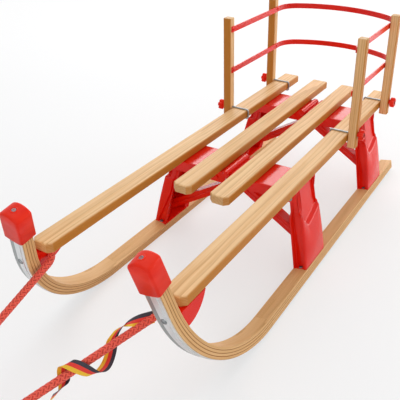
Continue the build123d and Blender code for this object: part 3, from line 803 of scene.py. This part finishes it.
def collars(name, places, radius, wire, material):
    """Raised rings round screw heads."""
    shape = bmesh.new()
    upright = Matrix.Rotation(pi / 2, 4, "X")
    for placed in places:
        made = bmesh.new()
        ring = bmesh.ops.create_circle(made, segments=10, radius=wire)["verts"]
        bmesh.ops.transform(made, matrix=Matrix.Translation((radius, 0, 0)) @ upright, verts=ring)
        bmesh.ops.spin(
            made,
            geom=list(made.verts) + list(made.edges),
            cent=(0, 0, 0),
            axis=(0, 0, 1),
            angle=2 * pi,
            steps=32,
            use_merge=True,
        )
        add_shape(shape, made, placed)
    return mesh_piece(name, shape, material)


# Caps over the horns
def moulded_cap(name, side):
    """A cap over a horn's end: arched from side to side, its edges soft and its foot open."""
    half, front, back, low, top = 0.0205, -0.0040, 0.0300, -0.0455, 0.0062
    foot_dip, round_r, wall_t, arch_cuts, sharp = 0.0015, 0.0042, 0.0024, 7, radians(35)
    shape = bmesh.new()
    bmesh.ops.create_cube(shape, size=1.0)
    bmesh.ops.scale(shape, vec=(2 * half, back - front, top - low), verts=shape.verts)
    bmesh.ops.translate(shape, vec=(0, (front + back) / 2, (top + low) / 2), verts=shape.verts)
    foot = [face for face in shape.faces if all(vertex.co.z < 0 for vertex in face.verts)]
    bmesh.ops.delete(shape, geom=foot, context="FACES_ONLY")
    across = [edge for edge in shape.edges if abs(edge.verts[0].co.x - edge.verts[1].co.x) > half]
    bmesh.ops.subdivide_edges(shape, edges=across, cuts=arch_cuts)
    for vertex in shape.verts:
        arched = 1 - (vertex.co.x / half) ** 2
        if vertex.co.z > 0:
            vertex.co.z += CAP_ARCH * arched
        elif vertex.co.y < (front + back) / 2:
            vertex.co.z -= foot_dip * arched
    bmesh.ops.recalc_face_normals(shape, faces=shape.faces)
    inner = [edge for edge in shape.edges if len(edge.link_faces) == 2]
    soften(shape, [edge for edge in inner if edge.calc_face_angle() > sharp], round_r, 5)
    spot, ahead, through = band_spot(side, HORN_TIP, 0.0)
    placed = placement(spot, ahead.cross(through), -through, ahead)
    bmesh.ops.transform(shape, matrix=placed, verts=shape.verts)
    cap = mesh_piece(name, shape, RED_PLASTIC)
    wall = cap.modifiers.new("wall", "SOLIDIFY")
    wall.thickness, wall.offset = wall_t, -1.0
    return cap


# Trestles
STRIP_STEPS, ARC_STEPS, FACE_STEPS, LEG_ROWS, LEG_CORNER = 26, 6, 60, 110, 0.004
NOTCH_ALONG, NOTCH_V = -0.35, 0.112
LIP_IN, LIP_RAMP, FACE_IN = -0.0132, 0.0014, 0.0085


def ease(value, low, high):
    """0 below low, 1 above high and smooth between."""
    share = min(max((value - low) / (high - low), 0.0), 1.0)
    return share * share * (3 - 2 * share)


def leg_section(step, half):
    """A place on a leg's boxed section: along the sled, outwards, the same of its normal."""
    last = 2 * (STRIP_STEPS + ARC_STEPS) + FACE_STEPS
    if step > last / 2:
        along, out, normal_along, normal_out = leg_section(last - step, half)
        return -along, out, -normal_along, normal_out
    if step <= STRIP_STEPS:
        run = (LEG_DEPTH - LEG_CORNER) * step / STRIP_STEPS
        return -half, -LEG_DEPTH / 2 + run, -1.0, 0.0
    if step <= STRIP_STEPS + ARC_STEPS:
        turn = pi / 2 * (step - STRIP_STEPS) / ARC_STEPS
        along = -half + LEG_CORNER - LEG_CORNER * cos(turn)
        return along, LEG_DEPTH / 2 - LEG_CORNER + LEG_CORNER * sin(turn), -cos(turn), sin(turn)
    share = (step - STRIP_STEPS - ARC_STEPS) / FACE_STEPS
    return (2 * share - 1) * (half - LEG_CORNER), LEG_DEPTH / 2, 0.0, 1.0


def face_press(along, height):
    """How deep the leg's outer face is pressed: out in a bulge below the notch, in above it."""
    if along < NOTCH_ALONG:
        notch = NOTCH_V + 0.038 * ((NOTCH_ALONG - along) / (1 + NOTCH_ALONG)) ** 1.5
    else:
        notch = NOTCH_V + 0.021 * ((along - NOTCH_ALONG) / (1 - NOTCH_ALONG)) ** 1.3
    above = ease(height, notch, notch + 0.011)
    share = min(max((height - RUNNER_TOP) / (notch - RUNNER_TOP), 0.0), 1.0)
    bulge = 0.0060 * sin(pi * share) * max(1 - along * along, 0.0) ** 0.7
    return FACE_IN * above - bulge * (1 - above)


def strip_press(out, height):
    """How deep the leg's front or rear strip is pressed: a slope, a groove and a straight top."""
    past_lip = ease(out, LIP_IN, LIP_IN + LIP_RAMP)
    groove_edge = 0.008 - 0.015 * min((height - RUNNER_TOP) / 0.086, 1.0)
    groove = past_lip * (1 - ease(out, groove_edge - LIP_RAMP, groove_edge + LIP_RAMP))
    slope = 0.0075 * (LEG_DEPTH / 2 - out) / LEG_DEPTH * past_lip
    return max(slope + 0.006 * groove, FACE_IN * ease(height, 0.140, 0.152))


def pressed_leg(name, side, middle_y):
    """A leg: one sheet pressed to a box, with a bulge, a notch above it and a lip on each edge."""
    steps = 2 * (STRIP_STEPS + ARC_STEPS) + FACE_STEPS
    skin, side_trim, end_trim = 0.0014, 0.001, 0.004
    foot, upwards, outwards = canted(side)
    shape = bmesh.new()
    for depth in (0.0, skin):
        sheet = bmesh.ops.create_grid(shape, x_segments=steps, y_segments=LEG_ROWS, size=0.5)
        for vertex in sheet["verts"]:
            step, share = round((vertex.co.x + 0.5) * steps), vertex.co.y + 0.5
            height = RUNNER_TOP + (LEG_TOP_V - RUNNER_TOP) * share
            narrowed = min((height - RUNNER_TOP) / (LEG_NECK_V - RUNNER_TOP), 1.0)
            half = (LEG_FOOT_LEN + (LEG_TOP_LEN - LEG_FOOT_LEN) * narrowed) / 2
            along, out, normal_along, normal_out = leg_section(step, half)
            face = face_press(along / half, height)
            press = face * normal_out + strip_press(out, height) * (1 - normal_out) + depth
            y = middle_y + LEG_RAKE * (1 - narrowed) + along - normal_along * press
            vertex.co = foot + upwards * height + outwards * (out - normal_out * press)
            vertex.co.y = y
    bmesh.ops.bridge_loops(shape, edges=[edge for edge in shape.edges if edge.is_boundary])
    plate = bmesh.new()
    bmesh.ops.create_cube(plate, size=1.0)
    plate_size = (LEG_DEPTH - side_trim, LEG_FOOT_LEN - end_trim, SHEET_T)
    bmesh.ops.scale(plate, vec=plate_size, verts=plate.verts)
    soften(plate, list(plate.edges), 0.0006, 2)
    spot = foot + Vector((0, middle_y + LEG_RAKE, 0)) + upwards * (RUNNER_TOP + SHEET_T / 2)
    add_shape(shape, plate, placement(spot, outwards, Vector((0, 1, 0)), upwards))
    return mesh_piece(name, shape, RED_PAINT)


def rods(name, ends, radius, segments):
    """Round red bars between pairs of points, their ends softly rounded."""
    shape = bmesh.new()
    for start, end in ends:
        made = bmesh.new()
        reach = (end - start).length / 2
        add_cone(made, -reach, reach, radius, radius, segments)
        soften(made, level_edges(made.edges), 0.0008, 3)
        turned = (end - start).to_track_quat("Z", "Y").to_matrix().to_4x4()
        add_shape(shape, made, Matrix.Translation((start + end) / 2) @ turned)
    return mesh_piece(name, shape, RED_PAINT)


def star_knob(name, side, y):
    """A five-lobed hand knob with softened edges, its hub against the post."""
    lobes, notch_share = 5, 0.27
    shape = bmesh.new()
    outline = bmesh.ops.create_circle(shape, cap_ends=True, segments=80, radius=KNOB_R)
    for vertex in outline["verts"]:
        angle = atan2(vertex.co.y, vertex.co.x)
        vertex.co *= 1 - notch_share * max(0.0, cos(lobes * angle)) ** 1.4
    push(shape, list(shape.faces), KNOB_T)
    soften(shape, level_edges(shape.edges), 0.0022, 4)
    bmesh.ops.translate(shape, vec=(0, 0, KNOB_HUB_T), verts=shape.verts)
    add_cone(shape, 0.0, KNOB_HUB_T + 0.0006, 0.0062, 0.0072, 32)
    top = KNOB_HUB_T + KNOB_T
    add_cone(shape, top - 0.0008, top, 0.0058, 0.0050, 32)
    spot = Vector((side * POST_OUT_X, y, WIRE_Z))
    placed = facing_matrix(spot, Vector((side, 0, 0)), Vector((0, 0, -1)))
    bmesh.ops.transform(shape, matrix=placed, verts=shape.verts)
    return mesh_piece(name, shape, RED_PLASTIC)


# Ribbon: its black and its gold edge at each station along it, in millimetres
RIBBON_EDGES = (
    ((110.5, -506.0, 181.5), (113.5, -512.0, 168.5)),
    ((103.2, -514.4, 181.0), (108.8, -520.4, 168.0)),
    ((91.8, -527.2, 180.0), (97.2, -530.4, 166.9)),
    ((79.4, -536.3, 171.9), (90.3, -544.7, 174.3)),
    ((82.1, -553.6, 174.6), (68.9, -548.3, 164.7)),
    ((72.3, -557.2, 155.2), (63.6, -569.7, 150.9)),
    ((73.9, -562.2, 144.0), (65.3, -574.9, 138.4)),
    ((78.3, -571.6, 134.7), (69.2, -583.4, 131.6)),
    ((83.3, -586.0, 127.5), (73.1, -596.7, 128.3)),
    ((84.9, -599.7, 124.3), (73.9, -608.6, 127.3)),
    ((82.7, -614.2, 131.2), (71.5, -621.5, 125.7)),
    ((66.2, -620.0, 143.5), (64.0, -630.6, 134.2)),
    ((52.1, -625.7, 151.4), (49.1, -637.3, 143.1)),
    ((39.4, -628.0, 147.9), (30.7, -638.6, 144.0)),
    ((34.7, -630.2, 129.1), (24.2, -639.2, 130.5)),
    ((37.2, -632.4, 115.8), (27.8, -643.0, 115.6)),
    ((42.1, -640.8, 112.8), (34.8, -651.3, 106.5)),
    ((42.2, -654.9, 114.5), (36.3, -660.9, 103.4)),
    ((38.3, -668.7, 112.9), (33.4, -672.3, 101.1)),
)
RIBBON_FLAT, RIBBON_SPREAD, RIBBON_STEP, RIBBON_STRIPS = (0.0197, 0.262), 1.36, 0.0025, 4


def striped_ribbon(name):
    """A flat ribbon wound loosely round the right strand, between the lines of its two edges."""
    black, gold = [
        route_points([Vector(station[edge]) / 1000 for station in RIBBON_EDGES], RIBBON_STEP)
        for edge in (0, 1)
    ]
    count = min(len(black), len(gold)) - 1
    rows = []
    for number in range(count + 1):
        one, two = [line[round(number / count * (len(line) - 1))] for line in (black, gold)]
        middle = (one + two) / 2
        rows.append((middle, middle.lerp(one, RIBBON_SPREAD), middle.lerp(two, RIBBON_SPREAD)))
    gone = runs([row[0] for row in rows])
    shape = bmesh.new()
    weave = shape.loops.layers.uv.new("weave")
    bmesh.ops.create_grid(shape, x_segments=RIBBON_STRIPS, y_segments=count, size=0.5)
    for vertex in shape.verts:
        across, station = vertex.co.x + 0.5, round((vertex.co.y + 0.5) * count)
        for loop in vertex.link_loops:
            loop[weave].uv = (across, gone[station])
        vertex.co = rows[station][1].lerp(rows[station][2], across)
    return mesh_piece(name, shape, RIBBON_WEAVE)


# Handle and knot
def handle_turn():
    """The handle's own axes: towards the sled, up and along it."""
    end_reach, end_drop = HANDLE_LEN / 2 - HANDLE_ROUND, HANDLE_R - HANDLE_ROUND
    tilt = asin((KNOT_MID.z - HANDLE_ROUND) / hypot(end_reach, end_drop)) - atan2(
        end_drop, end_reach
    )
    forward = Vector((sin(KNOT_YAW), cos(KNOT_YAW), 0))
    along = Vector((cos(KNOT_YAW) * cos(tilt), -sin(KNOT_YAW) * cos(tilt), -sin(tilt)))
    return Matrix((forward, along.cross(forward), along)).transposed()


def knot_routes():
    """Two turns round the handle, a wrap round both strands and a short tail."""
    turn_r, turns_w, wrap_reach, wrap_w, wrap_h = 0.0208, 0.013, 0.0235, 0.011025, 0.00726
    turned = handle_turn()

    def by_handle(ahead, up, along):
        return KNOT_MID + turned @ Vector((ahead, up, along))

    round_handle = [
        by_handle(turn_r * cos(a), turn_r * sin(a), turns_w * ((a + 0.4) / (4 * pi + 0.8) - 0.5))
        for a in [radians(-20 + 760 * k / 25) for k in range(26)]
    ]
    wrap = [
        by_handle(wrap_reach + 0.006 * k / 12, wrap_h * sin(a), wrap_w * cos(a))
        for k, a in [(k, radians(30 * k)) for k in range(15)]
    ]
    tail = [
        by_handle(0.020, 0.006, -0.006),
        by_handle(0.024, 0.012, -0.010),
        by_handle(0.020, 0.0165, -0.0155),
    ]
    return round_handle, wrap, tail


# The tow rope, its knot and its ribbon
ROPE_YARN, RIBBON_WEAVE = rope_yarn(), ribbon_weave()
RED_PAINT, RED_PLASTIC = red_paint(), red_plastic()
ZINC, DULL_STEEL = zinc_plate("zinc_plate", 0.0), zinc_plate("dull_steel", 0.6)

# The routes of the part's source in millimetres; one more point past each corner rounds it
ROPE_ROUTES = {
    "left": ((-145.9, -468.2, 192.0), (-128.9, -484.3, 182.8), (-133.1, -929.8, 28.5)),
    "right": ((147.2, -469.7, 191.2), (126.5, -481.6, 184.1), (-118.0, -934.0, 25.5)),
}
PAST_CORNER = 0.025

strands, strand_paths = {}, {}
for side_name, route in ROPE_ROUTES.items():
    start, corner, end = [Vector(point) / 1000 for point in route]
    past = corner + (end - corner).normalized() * PAST_CORNER
    strand, paths = braid(f"braided_strand_{side_name}", [(start, corner, past, end)])
    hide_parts(f"tow_rope_{side_name}")
    strands[side_name] = strand
    strand_paths[side_name] = [list(point) for point in paths[0]]

knot, _ = braid("rope_knot", knot_routes(), 0.0016)
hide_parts("tow_knot")
ribbon = striped_ribbon("wound_ribbon")
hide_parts("ribbon")

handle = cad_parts["tow_handle"]
for side_name, strand in strands.items():
    [knot, handle] if side_name == "left" else [knot]


# Floor, lamps and background
FLOOR_GLOW, FLOOR_FADE, FLOOR_HALF, SKY_LIGHT = 0.56, (1.2, 3.6), 40, 0.36


def pale_floor():
    """A pale floor that fades to the background's white away from the sled."""
    finish = Finish("pale_floor")
    x, y, _ = finish.place()
    far = (x * x + y * y).root().ease(*FLOOR_FADE)
    seen = Value(finish, finish.node("ShaderNodeLightPath").outputs["Is Camera Ray"])
    matt = finish.node(
        "ShaderNodeBsdfPrincipled", None, {"Base Color": FLOOR_PALE, "Roughness": 0.85}
    )
    glow = finish.node("ShaderNodeEmission", None, {"Color": (1, 1, 1), "Strength": 1.0})
    share = seen * (FLOOR_GLOW + far * (1 - FLOOR_GLOW))
    mixed = finish.node(
        "ShaderNodeMixShader", None, {0: share, 1: matt.outputs[0], 2: glow.outputs[0]}
    )
    finish.node("ShaderNodeOutputMaterial", None, {0: mixed.outputs[0]})
    return finish.material


def lay_floor():
    """One wide sheet under the sled."""
    shape = bmesh.new()
    bmesh.ops.create_grid(shape, x_segments=1, y_segments=1, size=FLOOR_HALF)
    mesh = bpy.data.meshes.new("floor")
    shape.to_mesh(mesh)
    shape.free()
    mesh.materials.append(pale_floor())
    floor = bpy.data.objects.new("floor", mesh)
    bpy.context.scene.collection.objects.link(floor)


def softbox(name, place, aim, size, power):
    """A soft rectangular lamp. Its power is in watts."""
    data = bpy.data.lights.new(name, "AREA")
    data.shape = "RECTANGLE"
    data.size, data.size_y = size
    data.energy = power
    light = bpy.data.objects.new(name, data)
    bpy.context.scene.collection.objects.link(light)
    light.location = place
    light.rotation_euler = (Vector(aim) - Vector(place)).to_track_quat("-Z", "Y").to_euler()


def white_background():
    """A world that the camera and glossy surfaces see white, and that lights the sled softly."""
    world = bpy.data.worlds.new("studio")
    bpy.context.scene.world = world
    world.use_nodes = True
    studio = NodeKit(world.node_tree)
    rays = studio.node("ShaderNodeLightPath").outputs
    seen = Value(studio, rays["Is Camera Ray"]).most(Value(studio, rays["Is Glossy Ray"]))
    strength = SKY_LIGHT + seen * (1 - SKY_LIGHT)
    sky = studio.node("ShaderNodeBackground", None, {"Color": (1, 1, 1), "Strength": strength})
    studio.node("ShaderNodeOutputWorld", None, {0: sky.outputs[0]})


lay_floor()
softbox("overhead_softbox", (-0.3, 0.2, 4.0), (0, 0, 0.2), (3.6, 3.6), 50)
softbox("rear_softbox", (-1.5, 2.5, 1.9), (0, 0, 0.2), (2.6, 1.5), 46)
softbox("front_softbox", (1.6, -3.4, 1.6), (0, -0.1, 0.2), (2.0, 1.4), 30)
softbox("right_softbox", (2.0, 2.45, 0.75), (0, 0, 0.15), (2.4, 1.4), 46)
white_background()

# Screws and their collars
STRIP_SCREW_DOWN, CAP_SCREW_SINK = 0.105, 0.0006
cap_screws, strip_screws, foot_screws, rail_screws = [], [], [], []
for side_name, side in SIDES:
    cap_top = HORN_TIP + CAP_TOP_GAP + CAP_ARCH - CAP_SCREW_SINK
    spot, ahead, through = band_spot(side, cap_top, RUNNER_TOP / 2)
    cap_screws.append(facing_matrix(spot, ahead, through))
    spot, ahead, through = band_spot(side, HORN_TIP - STRIP_SCREW_DOWN, 0.0)
    strip_screws.append(facing_matrix(spot, through, ahead + through.cross(ahead) * 0.6))
    for middle_y in TRESTLE_YS:
        for end in (-1, 1):
            foot_y = middle_y + LEG_RAKE + end * (LEG_FOOT_LEN - LEG_CHANNEL) / 2
            spot, ahead, through = band_spot(side, BEND_START_Y - foot_y, RUNNER_TOP + SHEET_T)
            foot_screws.append(facing_matrix(spot, -through, ahead))
    for post_y in POST_YS:
        for rail_z in RAIL_ZS:
            spot = Vector((side * RAIL_FACE_X, post_y, rail_z))
            rail_screws.append(facing_matrix(spot, Vector((-side, 0, 0)), Vector((0, 1, 1))))
# Screw heads by radius and height, and their collars by radius and the wire's radius
screw_set("cap_screws", cap_screws, 0.0038, 0.0012, DULL_STEEL, cross=True)
screw_set("strip_screws", strip_screws, 0.0046, 0.0018, ZINC)
collars("cap_screw_collars", cap_screws, 0.0056, 0.0013, RED_PLASTIC)
collars("strip_screw_collars", strip_screws, 0.0053, 0.0006, ZINC)
screw_set("foot_screws", foot_screws, 0.0044, 0.0018, DULL_STEEL, cross=True)
screw_set("rail_screws", rail_screws, 0.0034, 0.0016, RED_PAINT, cross=True)

# Caps and knobs
for side_name, side in SIDES:
    cap = moulded_cap(f"moulded_cap_{side_name}", side)
    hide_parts(f"horn_cap_{side_name}")
for post_name, post_y in POSTS:
    for side_name, side in SIDES:
        knob = star_knob(f"knob_{post_name}_{side_name}", side, post_y)
        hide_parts(f"star_knob_{post_name}_{side_name}")

# Trestles: pressed legs in place of the plain ones, pins that close the knuckles, strut ribs
PIN_PROUD, RIB_SINK, RIB_R, RIB_SPAN = 0.0008, 0.0004, 0.0019, (0.02, 0.90)
knuckle_pins, strut_ribs = [], []
for trestle_name, middle_y in TRESTLES:
    for (side_name, side), wide in zip(SIDES, STRUT_WIDES):
        leg = pressed_leg(f"pressed_leg_{trestle_name}_{side_name}", side, middle_y)
        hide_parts(f"leg_{trestle_name}_{side_name}")
        reach = Vector((0, BEAM_LEN / 2 + PIN_PROUD, 0))
        middle = Vector((side * KNUCKLE_X, middle_y, KNUCKLE_Z))
        knuckle_pins.append((middle - reach, middle + reach))
        low = Vector((side * STRUT_LOW.x, middle_y, STRUT_LOW.z))
        pivot = Vector((0, middle_y, STRUT_PIVOT_Z))
        for end in (-1, 1):
            proud = Vector((0, end * (wide / 2 - RIB_SINK), 0))
            strut_ribs.append([low.lerp(pivot, share) + proud for share in RIB_SPAN])
rods("knuckle_pins", knuckle_pins, KNUCKLE_BORE - 0.0002, 32)
rods("strut_ribs", strut_ribs, RIB_R, 16)

# The finishes of the CAD nodes, by the words that their names start with
ASH_SLATS, ASH_POSTS = slat_ash(), post_ash()
LAMINATED = {side_name: laminated_ash(side_name, side) for side_name, side in SIDES}
STEEL = {side_name: rolled_steel(side_name, side) for side_name, side in SIDES}
TURNED = turned_ash()


def finish_of(node):
    """The material of a CAD node. What the table doesn't name is red painted steel."""
    side_name = node.rsplit("_", 1)[-1]
    for start, material in (
        ("runner_strip", STEEL.get(side_name)),
        ("runner", LAMINATED.get(side_name)),
        ("horn_cap", RED_PLASTIC),
        ("slat", ASH_SLATS),
        ("backrest_post", ASH_POSTS),
        ("hip_pin", ZINC),
        ("lock_plate", ZINC),
        ("clamp_hook", ZINC),
        ("tow_handle", TURNED),
        ("star_knob", RED_PLASTIC),
        ("tow_rope", ROPE_YARN),
        ("tow_knot", ROPE_YARN),
        ("ribbon", RIBBON_WEAVE),
    ):
        if node.startswith(start):
            return material
    return RED_PAINT


for name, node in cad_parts.items():
    node.data.materials.clear()
    node.data.materials.append(finish_of(name))
